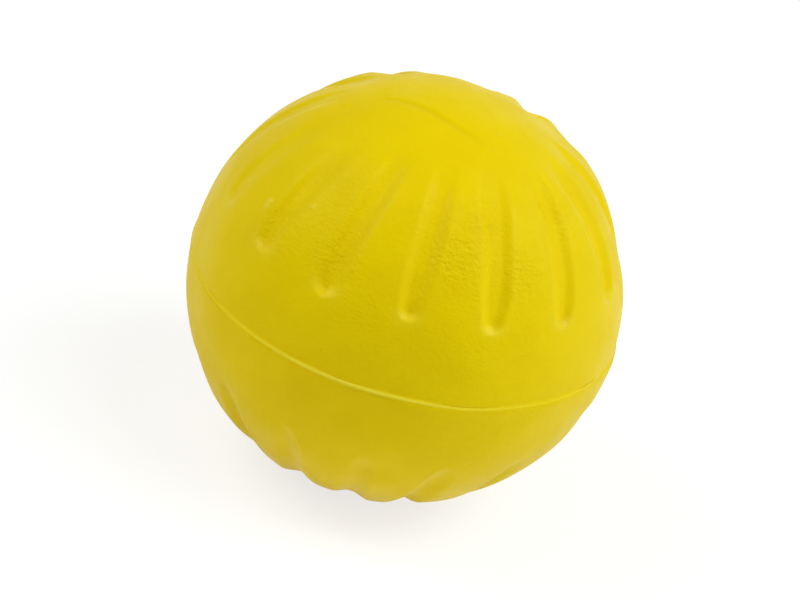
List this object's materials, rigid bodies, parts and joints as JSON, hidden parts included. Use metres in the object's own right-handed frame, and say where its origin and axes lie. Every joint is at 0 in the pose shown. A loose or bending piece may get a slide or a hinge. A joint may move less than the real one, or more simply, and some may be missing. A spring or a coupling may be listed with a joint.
{
  "type": "foam play ball",
  "caption": "Round moulded foam ball with a thin raised seam round its middle and shallow grooves running from near the seam towards each smooth pole.",
  "frame": {"origin": "centre of the ball, in the plane of the seam", "axes": "+Z from the centre through the upper pole, square to the seam; -Y towards the front as pictured"},
  "size_m": [0.0907, 0.0906, 0.0862],
  "materials": {
    "cover_foam": "semi-matte moulded closed-cell foam with a fine leathery grain",
    "core_foam": "matte cut foam with fine cells",
    "core_bond": "satin dried contact adhesive",
    "seam_bond": "satin moulded bead in the colour of the covers"
  },
  "bodies": {
    "root": {"upper_cover": "cover_foam", "lower_cover": "cover_foam", "foam_core": "core_foam", "core_adhesive": "core_bond", "seam_adhesive": "seam_bond"}
  },
  "joints": []
}
